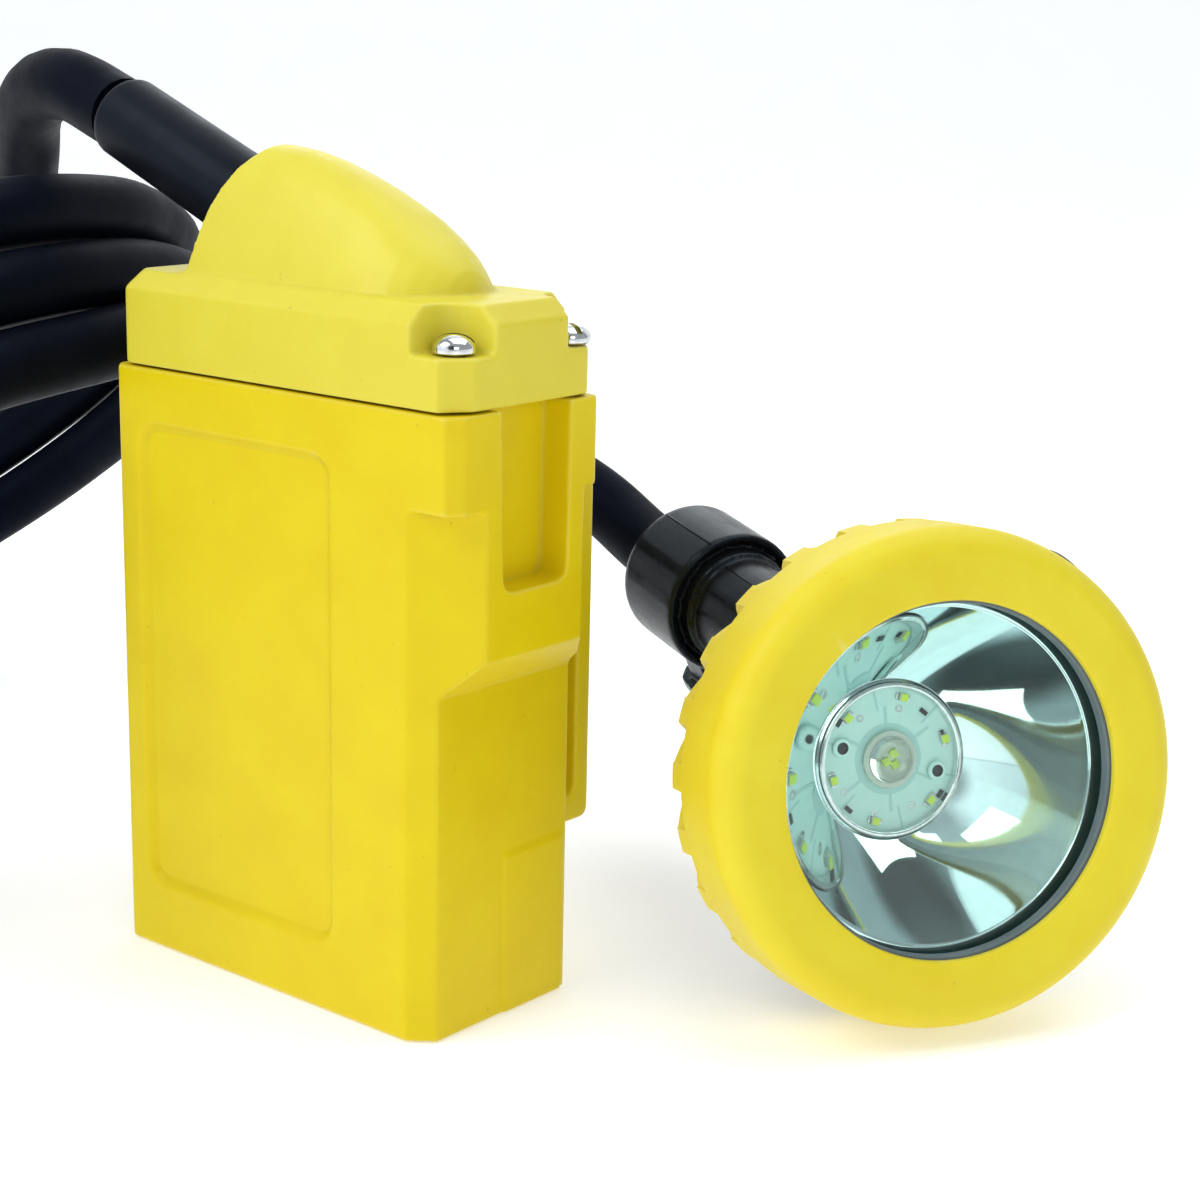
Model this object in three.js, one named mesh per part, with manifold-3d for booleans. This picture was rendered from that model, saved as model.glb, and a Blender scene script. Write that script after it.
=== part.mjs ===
// Miner's cap lamp: belt battery, cord and headpiece.
// Millimetres, +Z up. Origin at the centre of the battery's bottom face.
// +X runs along the broad face to the pocket side, -Y is the panel side.
import * as THREE from 'three';
import { mergeVertices } from 'three/addons/utils/BufferGeometryUtils.js';
import { ParametricGeometry } from 'three/addons/geometries/ParametricGeometry.js';
import Module from 'manifold-3d';

const wasm = await Module();
wasm.setup();

// ---------------------------------------------------------------- sizes
const GAP = 0.3;
const CASE = { x: 32.17, y: 14.31, top: 84, floor: 2.4 };
const ROOM = { left: -29.8, right: 24.6, y: 11.9 };
const COVER = { base: 84.3, side: 94.7, top: 97.05, inset: 0.2, bevel: 2.5 };
const SCREW_NEAR = [27.9, -9.6, 91];
const SCREW_FAR = [29.2, 11.0, 90.6];
const CELL = { radius: 9.2, length: 65, z: 4.8, x: [-19.9, -0.7] };
const LOOP = { width: 15, x: [-16.5, 16.5], z0: 22, z1: 71, back: 23, plate: 20 };
const DOME = { left: -21.5, right: 22.6, halfWidth: 11.4, wall: 1.8, base: 96 };
const BOOT = { start: [-11, 0, 102.8], tilt: 22, length: 37 };
const CORD_RADIUS = 5.25;

const LENS_CENTRE = new THREE.Vector3(76.12, 35.12, 35.75);
const LAMP_AXIS = new THREE.Vector3(0.8425, -0.5185, 0.1461);
const NECK_SIDE = new THREE.Vector3(-0.3415, -0.3045, 0.8891);
const BEZEL = { opening: 23.85, front: 33.4, rear: 33.7, depth: 16, notches: 24 };
const SLEEVE = { y: 21.1, s: -52.8, tilt: 16.9, radius: 10.9, length: 16.7 };
const NECK = { radius: 7.9, ring: 8.7 };
const KNOB = { angle: 10, s: -24.6, radius: 7, base: 31.2, top: 38.6 };
const BOARD = { s: -20.3, radius: 12.2, ledRing: 8.8, ledStart: 49, screwRing: 7.5, screwAngle: 137.5 };

// ---------------------------------------------------------------- colours
const paint = (color, roughness, metalness = 0) => ({ color, roughness, metalness });
const YELLOW = paint(0xf2d21c, 0.45);
const PALE_YELLOW = paint(0xf4d95a, 0.45);
const BLACK = paint(0x17181a, 0.4);
const RUBBER = paint(0x1b1c20, 0.65);
const GREY_RUBBER = paint(0x5a6266, 0.7);
const CHROME = paint(0xd8dadd, 0.15, 1);
const BRASS = paint(0xc9a24a, 0.3, 1);
const NICKEL = paint(0xb9bbb6, 0.35, 1);
const ALUMINIUM = paint(0xb4b8bc, 0.4, 1);
const CELL_WRAP = paint(0x2f6f8f, 0.5);
const BOARD_GREEN = paint(0x2c6b45, 0.5);
const BOARD_WHITE = paint(0xd6e8e2, 0.5);
const CLEAR = paint(0xdff3ee, 0.08);
const LED_YELLOW = paint(0xdfe86a, 0.35);
const FOAM = paint(0x3a3a3c, 0.95);
const WIRE_RED = paint(0xa8201c, 0.5);
const WIRE_BLACK = paint(0x101012, 0.5);

// ---------------------------------------------------------------- helpers
function solid(geometry) {
  const bare = geometry.clone();
  bare.deleteAttribute('normal');
  bare.deleteAttribute('uv');
  const merged = mergeVertices(bare, 1e-4);
  const index = Array.from(merged.index.array);
  const tris = [];
  for (let i = 0; i < index.length; i += 3) {
    const [a, b, c] = index.slice(i, i + 3);
    if (a !== b && b !== c && c !== a) {
      tris.push(a, b, c);
    }
  }
  const make = (list) => new wasm.Manifold(new wasm.Mesh({
    numProp: 3,
    vertProperties: new Float32Array(merged.attributes.position.array),
    triVerts: new Uint32Array(list),
  }));
  const first = make(tris);
  if (first.volume() > 0) {
    return first;
  }
  const flipped = [];
  for (let i = 0; i < tris.length; i += 3) {
    flipped.push(tris[i], tris[i + 2], tris[i + 1]);
  }
  return make(flipped);
}

function geometryOf(body) {
  const mesh = body.getMesh();
  const geometry = new THREE.BufferGeometry();
  geometry.setAttribute('position', new THREE.BufferAttribute(mesh.vertProperties, 3));
  geometry.setIndex(new THREE.BufferAttribute(mesh.triVerts, 1));
  geometry.computeVertexNormals();
  return geometry;
}

function box(x0, x1, y0, y1, z0, z1) {
  const geometry = new THREE.BoxGeometry(x1 - x0, y1 - y0, z1 - z0);
  geometry.translate((x0 + x1) / 2, (y0 + y1) / 2, (z0 + z1) / 2);
  return solid(geometry);
}

function rod(x, y, z0, z1, radius, sides = 32) {
  const geometry = new THREE.CylinderGeometry(radius, radius, z1 - z0, sides);
  geometry.rotateX(Math.PI / 2);
  geometry.translate(x, y, (z0 + z1) / 2);
  return solid(geometry);
}

// Turned shape about Z from [radius, height] points, closed on itself or on the axis.
function turned(profile, sides = 48) {
  const points = profile.map(([r, h]) => new THREE.Vector2(r, h));
  const geometry = new THREE.LatheGeometry(points, sides);
  geometry.rotateX(Math.PI / 2);
  return solid(geometry);
}

function ring(inner, outer, z0, z1, sides = 48) {
  return turned([[inner, z0], [outer, z0], [outer, z1], [inner, z1], [inner, z0]], sides);
}

function outline(points) {
  return new THREE.Shape(points.map(([x, y]) => new THREE.Vector2(x, y)));
}

function prism(points, z0, z1) {
  const geometry = new THREE.ExtrudeGeometry(outline(points), { depth: z1 - z0, bevelEnabled: false });
  geometry.translate(0, 0, z0);
  return solid(geometry);
}

// Outline in Y and Z, extruded along X.
function sidePrism(points, x0, x1) {
  const geometry = new THREE.ExtrudeGeometry(outline(points), { depth: x1 - x0, bevelEnabled: false });
  geometry.rotateX(Math.PI / 2);
  geometry.rotateZ(Math.PI / 2);
  geometry.translate(x0, 0, 0);
  return solid(geometry);
}

// Outline in X and Z, extruded along Y.
function facePrism(shape, y0, y1, options = {}) {
  const geometry = new THREE.ExtrudeGeometry(shape, { depth: y1 - y0, bevelEnabled: false, ...options });
  geometry.rotateX(Math.PI / 2);
  geometry.translate(0, y1, 0);
  return solid(geometry);
}

function roundedRect(x0, x1, y0, y1, r) {
  const shape = new THREE.Shape();
  shape.absarc(x1 - r, y0 + r, r, -Math.PI / 2, 0);
  shape.absarc(x1 - r, y1 - r, r, 0, Math.PI / 2);
  shape.absarc(x0 + r, y1 - r, r, Math.PI / 2, Math.PI);
  shape.absarc(x0 + r, y0 + r, r, Math.PI, 1.5 * Math.PI);
  shape.closePath();
  return shape;
}

function tube(points, radius, steps, sides = 10) {
  const curve = new THREE.CatmullRomCurve3(points.map((p) => new THREE.Vector3(...p)), false, 'centripetal');
  const section = new THREE.Shape();
  section.absarc(0, 0, radius, 0, 2 * Math.PI);
  return solid(new THREE.ExtrudeGeometry(section, {
    steps,
    extrudePath: curve,
    curveSegments: sides,
    bevelEnabled: false,
  }));
}

const placed = (body, matrix) => body.transform(matrix.elements.slice());
const moved = (body, x, y, z) => body.translate([x, y, z]);

const group = new THREE.Group();
group.name = 'cap_lamp';

function add(name, body, look) {
  const material = new THREE.MeshStandardMaterial(look);
  material.name = name;
  const mesh = new THREE.Mesh(geometryOf(body), material);
  mesh.name = name;
  group.add(mesh);
}

// ---------------------------------------------------------------- battery case
function caseOutline(inset) {
  const x = CASE.x - inset;
  const y = CASE.y - inset;
  return [[-x + 1.5, -y], [x - 1.6, -y], [x, -y + 2.4], [x, y - 1.2], [x - 1.2, y], [-x + 1.5, y],
    [-x, y - 1.5], [-x, -y + 1.5]];
}

function beltLoop(x) {
  const { width, z0, z1, back, plate } = LOOP;
  const wall = CASE.y - 0.6;
  const points = [
    [wall, z0], [back - 1.5, z0], [back - 0.4, z0 + 0.4], [back, z0 + 1.5],
    [back, z1 - 1.5], [back - 0.4, z1 - 0.4], [back - 1.5, z1], [wall, z1],
    [wall, z1 - 4.5], [plate - 1.6, z1 - 4.5], [plate - 0.5, z1 - 5], [plate, z1 - 6.1],
    [plate, z0 + 5.1], [plate - 0.5, z0 + 4], [plate - 1.6, z0 + 3.5], [wall, z0 + 3.5],
  ];
  return sidePrism(points, x - width / 2, x + width / 2);
}

function pocketCutter() {
  const points = [
    [-3.0, 60.4], [6.2, 60.4], [7.4, 61.0], [7.8, 62.4], [8.2, 90], [-5.3, 90], [-4.6, 62.4], [-4.1, 61.0],
  ];
  return sidePrism(points, 27.4, 40);
}

function batteryCase() {
  let body = prism(caseOutline(0), 0, CASE.top);
  const cornerCut = [[24.05, -CASE.y], [50, 6.66], [50, -40], [24.05, -40]];
  body = body.subtract(prism(cornerCut, -1, 71.5));
  body = body.subtract(prism([[33.5, 9.56], [27.0, 16.1], [40, 16.1], [40, 9.56]], -1, 72.2));
  const ledge = outline([[27.4, -1], [27.4, 47.1], [36.2, 56.1], [60, 56.1], [60, -1]]);
  body = body.subtract(facePrism(ledge, -40, 40));
  body = body.subtract(box(ROOM.left, ROOM.right - 2, -ROOM.y, ROOM.y, CASE.floor, CASE.top + 1));
  body = body.subtract(box(ROOM.left, ROOM.right, -ROOM.y + 2, ROOM.y, CASE.floor, CASE.top + 1));
  body = body.subtract(pocketCutter());
  const recess = roundedRect(-26, 9.7, 10.4, 75.8, 2.6);
  const recessCut = facePrism(recess, -CASE.y - 1.1, -CASE.y + 0.1, {
    bevelEnabled: true,
    bevelThickness: 0.9,
    bevelSize: 0.9,
    bevelSegments: 1,
    curveSegments: 5,
  });
  body = body.subtract(recessCut);
  for (const [x, y, z] of [SCREW_NEAR, SCREW_FAR]) {
    body = body.subtract(rod(x, y, z - 15.4, CASE.top + 1, 1.5, 16));
  }
  body = body.add(box(27.2, 27.75, 1.5, 13.3, 0, 22.5));
  for (const x of LOOP.x) {
    body = body.add(beltLoop(x));
  }
  return body;
}

add('battery_case', batteryCase(), YELLOW);

// ---------------------------------------------------------------- battery cover and dome
const CROWN = [[-21.5, 114.5], [-12, 114.3], [-5.2, 113.7], [3, 111.2], [8.3, 109.1], [13.6, 106.4],
  [18.7, 103], [21.4, 100.4], [22.3, 98.6], [22.6, 97]];

function crownHeight(x) {
  for (let i = 1; i < CROWN.length; i += 1) {
    if (x <= CROWN[i][0]) {
      const [x0, z0] = CROWN[i - 1];
      const [x1, z1] = CROWN[i];
      return z0 + (z1 - z0) * (x - x0) / (x1 - x0);
    }
  }
  return CROWN[CROWN.length - 1][1];
}

// Closed dome: sections across X, with both ends drawn in to a point.
function dome(left, inset, base, stacks) {
  const right = DOME.right - inset;
  const round = DOME.halfWidth - inset;
  const point = (u, v, target) => {
    const along = Math.min(Math.max((v * (stacks + 2) - 1) / stacks, 0), 1);
    const eased = Math.sin(along * Math.PI / 2);
    const x = left + (right - left) * eased;
    const beyond = Math.max(0, x - (right - round));
    const half = Math.sqrt(Math.max(round * round - beyond * beyond, 0));
    const crown = Math.max(crownHeight(x + inset) - inset, base + 0.2);
    const closed = v < 0.5 / (stacks + 2) || v > 1 - 0.5 / (stacks + 2);
    const side = Math.min(u * 1.25, 1) * 2 - 1;
    const foot = u > 0.8 ? 1 - (u - 0.8) * 10 : side;
    const height = u >= 0.8 ? 0 : 1 - Math.abs(side) ** 2.4;
    if (closed) {
      target.set(x, 0, base + (crown - base) * 0.3);
    } else {
      target.set(x, foot * half, base + (crown - base) * height);
    }
  };
  return solid(new ParametricGeometry(point, 20, stacks + 2));
}

function bootAxis() {
  const tilt = THREE.MathUtils.degToRad(BOOT.tilt);
  const direction = new THREE.Vector3(-Math.cos(tilt), 0, Math.sin(tilt));
  const turn = new THREE.Quaternion().setFromUnitVectors(new THREE.Vector3(0, 0, 1), direction);
  return new THREE.Matrix4().compose(new THREE.Vector3(...BOOT.start), turn, new THREE.Vector3(1, 1, 1));
}

function coverBlock() {
  const shape = outline(caseOutline(COVER.inset + COVER.bevel));
  const geometry = new THREE.ExtrudeGeometry(shape, {
    depth: COVER.side - 70,
    bevelEnabled: true,
    bevelThickness: COVER.top - COVER.side,
    bevelSize: COVER.bevel,
    bevelSegments: 1,
  });
  geometry.translate(0, 0, 70);
  return solid(geometry).subtract(box(-50, 50, -50, 50, 50, COVER.base));
}

// The dome's open left end leans back; shift moves it along X.
function mouthEdge(shift) {
  const edge = [[-20.3, 97.3], [-19.4, 102], [-18.5, 105.8], [-17.3, 108.5], [-15.7, 111.2], [-13.4, 113.5],
    [-11.4, 115.5]];
  return edge.map(([x, z]) => [x + shift, z]);
}

function mouthCutter() {
  return facePrism(outline([...mouthEdge(0), [-11.4, 120], [-40, 120], [-40, 97.3]]), -20, 20);
}

function domeHollow(clearance) {
  const sill = box(-60, -18.4, -20, 20, 80, 97.8);
  return dome(DOME.left - 4, DOME.wall + clearance, DOME.base - 4, 12).subtract(sill);
}

function batteryCover() {
  let body = dome(DOME.left, 0, DOME.base, 14).subtract(mouthCutter()).add(coverBlock());
  body = body.subtract(box(ROOM.left, ROOM.right - 2, -ROOM.y, ROOM.y, COVER.base - 1, 93.4));
  body = body.subtract(domeHollow(0));
  const bore = turned([[0, -2], [6.7, -2], [6.35, 45], [0, 45]], 32);
  body = body.subtract(placed(bore, bootAxis()));
  const [nx, ny, nz] = SCREW_NEAR;
  body = body.subtract(rod(nx, ny, nz, 110, 3.3, 24));
  body = body.subtract(box(nx - 0.4, 50, -50, ny + 0.6, nz, 110));
  body = body.subtract(box(nx, 50, ny, ny + 3.3, nz, 110));
  body = body.subtract(box(nx - 3.3, nx + 1, -50, ny, nz, 110));
  const [fx, fy, fz] = SCREW_FAR;
  body = body.subtract(rod(fx, fy, fz, 110, 3.3, 24));
  body = body.subtract(box(fx, 50, fy - 3.3, 50, fz, 110));
  body = body.subtract(box(fx - 3.3, 50, fy, 50, fz, 110));
  for (const [x, y, z] of [SCREW_NEAR, SCREW_FAR]) {
    body = body.subtract(rod(x, y, z - 12, z + 1, 1.5, 16));
  }
  return body;
}

function coverScrew(x, y, z) {
  let body = rod(0, 0, -15, 0.35, 1.2, 16);
  const head = [[0, 0.3], [2.75, 0.3], [2.75, 1.1], [2.5, 1.7], [1.9, 2.3], [1.0, 2.65], [0, 2.75]];
  body = body.add(turned(head, 24));
  body = body.subtract(box(-3, 3, -0.35, 0.35, 1.7, 4));
  return moved(body, x, y, z);
}

add('battery_cover', batteryCover(), PALE_YELLOW);
add('cover_screw_near', coverScrew(...SCREW_NEAR), CHROME);
add('cover_screw_far', coverScrew(...SCREW_FAR), CHROME);

const sealOuter = box(ROOM.left + 0.3, ROOM.right - 2.3, -ROOM.y + 0.3, ROOM.y - 0.3, 82.6, 85.8);
const sealInner = box(ROOM.left + 1.8, ROOM.right - 3.8, -ROOM.y + 1.8, ROOM.y - 1.8, 80, 90);
add('cover_seal', sealOuter.subtract(sealInner), GREY_RUBBER);

// ---------------------------------------------------------------- inside the battery
const cradleRight = CELL.x[1] + CELL.radius + 2;
let cradle = box(ROOM.left + GAP, cradleRight, -ROOM.y + GAP, ROOM.y - GAP, CASE.floor + GAP, 16);
for (const x of CELL.x) {
  cradle = cradle.subtract(rod(x, 0, 3.8, 20, CELL.radius + GAP, 32));
}
cradle = cradle.subtract(box(CELL.x[0], CELL.x[1], -4.5, 4.5, 3.8, 20));
add('cell_cradle', cradle, BLACK);

function cell(x) {
  const r = CELL.radius;
  const end = CELL.length;
  const profile = [[0, 0], [r - 0.5, 0], [r, 0.5], [r, end - 2.2], [r - 0.7, end - 1.6], [r - 0.4, end - 0.8],
    [r - 1.6, end - 0.5], [2.8, end - 0.5], [2.6, end], [0, end]];
  return moved(turned(profile, 32), x, 0, CELL.z);
}

add('cell_left', cell(CELL.x[0]), CELL_WRAP);
add('cell_right', cell(CELL.x[1]), CELL_WRAP);
const stripFoot = box(CELL.x[0] - 3, CELL.x[1] + 3, -3.5, 3.5, 4.1, 4.5);
add('cell_strip_bottom', stripFoot, NICKEL);
const cellTop = CELL.z + CELL.length;
add('cell_strip_top', box(CELL.x[0] - 3, CELL.x[1] + 3, -3.5, 3.5, cellTop + GAP, cellTop + 0.7), NICKEL);
add('foam_pad', box(ROOM.left + 1, cradleRight, -10.5, 10.5, cellTop + 1, 81.5), FOAM);

let circuit = box(13.2, 14.8, -10.8, 10.8, 8, 66);
circuit = circuit.add(box(14.7, 16.4, -6, -1, 44, 49));
circuit = circuit.add(box(14.7, 16.4, 1, 6, 44, 49));
circuit = circuit.add(box(14.7, 17.2, -4, 4, 26, 33));
add('protection_board', circuit, BOARD_GREEN);

for (const [name, y, look] of [['wire_positive', 3, WIRE_RED], ['wire_negative', -3, WIRE_BLACK]]) {
  const end = [-9.4, y * 0.7, 102.2];
  const path = [[16.2, y, 56], [18.5, y, 68], [18, y, 84], [10, y, 95], [0, y * 0.8, 100.4], end];
  add(name, tube(path, 0.85, 14, 5), look);
}

const clampY = 5.6;
let saddle = box(-20.3, -14.8, -7.6, 7.6, 90.4, 93.1);
for (const y of [-clampY, clampY]) {
  saddle = saddle.subtract(rod(-17.5, y, 80, 100, 1.2, 12));
}
add('cord_clamp', saddle, BLACK);

function clampScrew(y) {
  const body = rod(0, 0, -4.5, 0.1, 0.9, 12);
  return moved(body.add(rod(0, 0, -1.9, -0.6, 1.8, 16)), -17.5, y, 90.7);
}

add('clamp_screw_front', clampScrew(-clampY), CHROME);
add('clamp_screw_back', clampScrew(clampY), CHROME);

// ---------------------------------------------------------------- strain relief
const bootProfile = [[0, 0], [6.2, 0], [6.2, 3], [6.15, 10], [6.05, 14], [6.0, 22], [5.95, 30], [5.9, 36.2],
  [5.4, BOOT.length], [0, BOOT.length]];
const bungSide = outline([...mouthEdge(0.9), ...mouthEdge(4.2).reverse()]);
const belowBung = box(-60, 60, -20, 20, 90, 98.1);
const bung = domeHollow(GAP).intersect(facePrism(bungSide, -20, 20)).subtract(belowBung);
add('cord_boot', placed(turned(bootProfile, 32), bootAxis()).add(bung), RUBBER);

// ---------------------------------------------------------------- headpiece frame
// Local axes: Z along the lamp's beam with 0 at the opening, Y towards the neck.
LAMP_AXIS.normalize();
NECK_SIDE.addScaledVector(LAMP_AXIS, -NECK_SIDE.dot(LAMP_AXIS)).normalize();
const KNOB_SIDE = new THREE.Vector3().crossVectors(NECK_SIDE, LAMP_AXIS);
const HEAD = new THREE.Matrix4().makeBasis(KNOB_SIDE, NECK_SIDE, LAMP_AXIS).setPosition(LENS_CENTRE);
const addHead = (name, body, look) => add(name, placed(body, HEAD), look);

// Sleeve frame: Z forwards along the cord, 0 at the sleeve's rear face.
const sleeveTilt = THREE.MathUtils.degToRad(SLEEVE.tilt);
const rearY = SLEEVE.y + SLEEVE.length * Math.sin(sleeveTilt);
const rearS = SLEEVE.s - SLEEVE.length * Math.cos(sleeveTilt);
const SLEEVE_FRAME = new THREE.Matrix4().makeRotationX(sleeveTilt).setPosition(0, rearY, rearS);

// Knob frame: Z outwards along the switch shaft, 0 at the lamp axis.
const KNOB_FRAME = new THREE.Matrix4()
  .makeRotationZ(THREE.MathUtils.degToRad(KNOB.angle))
  .multiply(new THREE.Matrix4().makeRotationY(Math.PI / 2))
  .setPosition(0, 0, KNOB.s);

// ---------------------------------------------------------------- bezel, lens, reflector
function bezelRing() {
  const { opening, front, rear, depth } = BEZEL;
  const profile = [
    [opening, -1.2], [opening, -0.5], [24.2, -0.1], [30.0, 0.1], [31.1, 0], [32.2, -0.8],
    [33.0, -2.0], [front, -3.6], [rear, -depth], [30.2, -depth], [30.2, -5.2],
    [27.6, -5.2], [27.6, -1.2], [opening, -1.2],
  ];
  let body = turned(profile, 72);
  const pitch = 2 * Math.PI / BEZEL.notches;
  const polar = (r, a) => [r * Math.cos(a), r * Math.sin(a)];
  for (let i = 0; i < BEZEL.notches; i += 1) {
    const a = (i + 0.37) * pitch;
    const wedge = [polar(36, a - 0.03), polar(31.9, a + 0.02), polar(33.2, a + 0.13), polar(36, a + 0.2)];
    body = body.subtract(prism(wedge, -depth - 1, -depth + 3.4));
  }
  return body;
}

addHead('bezel_ring', bezelRing(), YELLOW);
addHead('lens_gasket', ring(23.4, 27.3, -3.0, -1.5), GREY_RUBBER);
addHead('lens', turned([[0, -4.7], [27.3, -4.7], [27.3, -3.3], [0, -3.3]]), CLEAR);

function bowlRadius(s) {
  const front = 22.6;
  const back = 10.9;
  const t = (s + 19.4) / (19.4 - 5.2);
  return Math.sqrt(back * back + (front * front - back * back) * t);
}

function reflector() {
  const inside = [];
  const outside = [];
  for (let i = 0; i <= 6; i += 1) {
    const s = -19.4 + (19.4 - 5.2) * i / 6;
    inside.push([bowlRadius(s), s]);
    outside.push([bowlRadius(s) + 1.2, Math.min(s, -6.6)]);
  }
  const rim = [[27.3, -6.6], [27.3, -5.0], [22.9, -5.0]];
  return turned([...outside, ...rim, ...inside.reverse(), outside[0]], 44);
}

addHead('reflector', reflector(), CHROME);

// ---------------------------------------------------------------- light board
const atAngle = (radius, degrees) => {
  const a = THREE.MathUtils.degToRad(degrees);
  return [radius * Math.cos(a), radius * Math.sin(a)];
};
const screwSpots = [0, 180].map((turn) => atAngle(BOARD.screwRing, BOARD.screwAngle + turn));

let plate = rod(0, 0, BOARD.s - 1.2, BOARD.s, BOARD.radius, 40);
let carrier = rod(0, 0, BOARD.s - 5, BOARD.s - 1.5, 13.2, 40);
for (const [x, y] of screwSpots) {
  plate = plate.subtract(rod(x, y, -30, -10, 1.0, 12));
  carrier = carrier.subtract(rod(x, y, -40, -10, 1.0, 12));
}
addHead('led_board', plate, BOARD_WHITE);
addHead('board_carrier', carrier, ALUMINIUM);

const ledZ = BOARD.s + GAP;
const domeProfile = [[0, ledZ], [4.0, ledZ], [4.0, ledZ + 0.9], [3.2, ledZ + 1.0], [3.0, ledZ + 1.9],
  [2.3, ledZ + 2.7], [1.2, ledZ + 3.2], [0, ledZ + 3.35]];
addHead('main_led', turned(domeProfile, 32), CLEAR);

for (let i = 0; i < 6; i += 1) {
  const angle = BOARD.ledStart + i * 60;
  const [x, y] = atAngle(BOARD.ledRing, angle);
  const chip = box(-0.5, 0.5, -0.8, 0.8, ledZ, ledZ + 0.6).rotate([0, 0, angle]);
  addHead(`side_led_${i + 1}`, moved(chip, x, y, 0), LED_YELLOW);
}

function boardScrew([x, y]) {
  const head = rod(0, 0, BOARD.s + GAP, BOARD.s + 0.9, 1.3, 16);
  return moved(head.add(rod(0, 0, BOARD.s - 4.5, BOARD.s + 0.4, 0.7, 12)), x, y, 0);
}

addHead('board_screw_left', boardScrew(screwSpots[0]), BLACK);
addHead('board_screw_right', boardScrew(screwSpots[1]), BLACK);

// ---------------------------------------------------------------- helmet hook
// In the sleeve frame: a web under the keel's rear end and a plate that points forwards.
const HOOK = { top: -12.7, plate: -19.4, face: -21.4, screw: 2.2 };

function alongNeck(z, y0, y1, radius) {
  const body = rod(0, 0, y0, y1, radius, 16).rotate([-90, 0, 0]);
  return moved(body, 0, 0, z);
}

const hookScrewHole = () => alongNeck(HOOK.screw, -30, -8.9, 1.25);

function helmetHook() {
  const tip = outline([
    [-5.6, -3.4], [-3.6, -5.6], [3.6, -5.6], [5.6, -3.4], [6.2, 1], [6.2, 19], [-6.2, 19], [-6.2, 1],
  ]);
  const plate = new THREE.ExtrudeGeometry(tip, { depth: HOOK.plate - HOOK.face, bevelEnabled: false });
  plate.rotateX(Math.PI / 2);
  plate.translate(0, HOOK.plate, 0);
  const web = box(-4.6, 4.6, HOOK.plate - 0.5, HOOK.top, -1.5, 4.6);
  return solid(plate).add(web).subtract(hookScrewHole());
}

function hookScrew() {
  const shank = alongNeck(HOOK.screw, HOOK.face - 0.5, -9.2, 0.95);
  return alongNeck(HOOK.screw, HOOK.face - 1.3, HOOK.face - GAP, 1.9).add(shank);
}

// ---------------------------------------------------------------- head body
function headBody() {
  const outer = [[27.2, -7.2], [29.6, -7.2], [29.6, -16.6], [29.0, -18], [27.6, -23], [24.6, -29], [20, -34],
    [13, -38], [5, -40], [0, -40.2]];
  const inner = [[0, -37.8], [5, -37.6], [12, -35.6], [18.4, -32], [22.6, -27.6], [25.2, -22.5], [26.4, -17],
    [27.2, -15]];
  let body = turned([...[...outer].reverse(), ...[...inner].reverse()], 44);
  const neck = rod(0, 0, SLEEVE.length - 2, 41.5, NECK.radius, 32);
  const step = rod(0, 0, SLEEVE.length - 2, SLEEVE.length + 1.4, NECK.ring, 32);
  const hollow = turned([...inner, [27.2, 5], [0, 5]], 44);
  const R = SLEEVE.radius;
  const end = SLEEVE.length;
  const sleeve = turned([[0, 0.2], [R - 1.4, 0.2], [R - 0.5, 0.5], [R, 1.6], [R, end - 0.5], [R - 0.4, end],
    [R - 1.1, end], [R - 1.5, end - 1.4], [0, end - 1.4]], 40);
  const keel = prism([[-9.6, -5.2], [9.6, -5.2], [4.6, -12.4], [-4.6, -12.4]], 0.8, end - 0.6);
  const arm = sleeve.add(neck).add(step).add(keel).subtract(hookScrewHole());
  const gland = rod(0, 0, -2, 7.2, 8.0, 32);
  body = body.add(placed(arm.subtract(gland), SLEEVE_FRAME).subtract(hollow));
  const boss = rod(0, 0, 24.6, KNOB.base - GAP, 6.2, 28);
  body = body.add(placed(boss, KNOB_FRAME).subtract(hollow));
  body = body.subtract(placed(rod(0, 0, 16, 40, 2.3, 20), KNOB_FRAME));
  return body.subtract(placed(rod(0, 0, KNOB.base - 2.6, 40, 4.3, 24), KNOB_FRAME));
}

addHead('head_body', headBody(), BLACK);

const inSleeve = new THREE.Matrix4().multiplyMatrices(HEAD, SLEEVE_FRAME);
add('sleeve_gland', placed(rod(0, 0, 0.9, 6.9, 7.7, 32), inSleeve), RUBBER);
add('helmet_hook', placed(helmetHook(), inSleeve), BLACK);
add('hook_screw', placed(hookScrew(), inSleeve), CHROME);
add('hook_contact', placed(box(-2.2, 2.2, HOOK.face - 0.9, HOOK.face - GAP, 5.2, 17.5), inSleeve), BRASS);
addHead('bezel_seal', ring(27.7, 29.9, -6.9, -5.5), RUBBER);

// ---------------------------------------------------------------- switch
function switchKnob() {
  let body = turned([[0, KNOB.base], [KNOB.radius, KNOB.base], [KNOB.radius, KNOB.top - 1.2],
    [KNOB.radius - 1.2, KNOB.top], [0, KNOB.top]], 36);
  for (let i = 0; i < 12; i += 1) {
    const [x, y] = atAngle(KNOB.radius + 0.35, i * 30 + 15);
    body = body.subtract(rod(x, y, KNOB.base + 1.2, KNOB.top + 1, 0.9, 10));
  }
  body = body.subtract(box(-0.5, 0.5, 1.5, 6, KNOB.top - 0.6, KNOB.top + 1));
  return body.subtract(rod(0, 0, KNOB.base - 1, KNOB.base + 3.6, 2.25, 20));
}

const inKnob = new THREE.Matrix4().multiplyMatrices(HEAD, KNOB_FRAME);
add('switch_knob', placed(switchKnob(), inKnob), BLACK);
add('switch_shaft', placed(rod(0, 0, 20.4, KNOB.base + 3.3, 1.95, 20), inKnob), ALUMINIUM);
add('switch_seal', placed(ring(2.25, 4.0, KNOB.base - 2.3, KNOB.base - 0.7, 24), inKnob), RUBBER);
const unit = box(-4.5, 4.5, -5.5, 5.5, 15.4, 20.1);
add('switch_unit', placed(unit, inKnob), BLACK);

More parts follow.
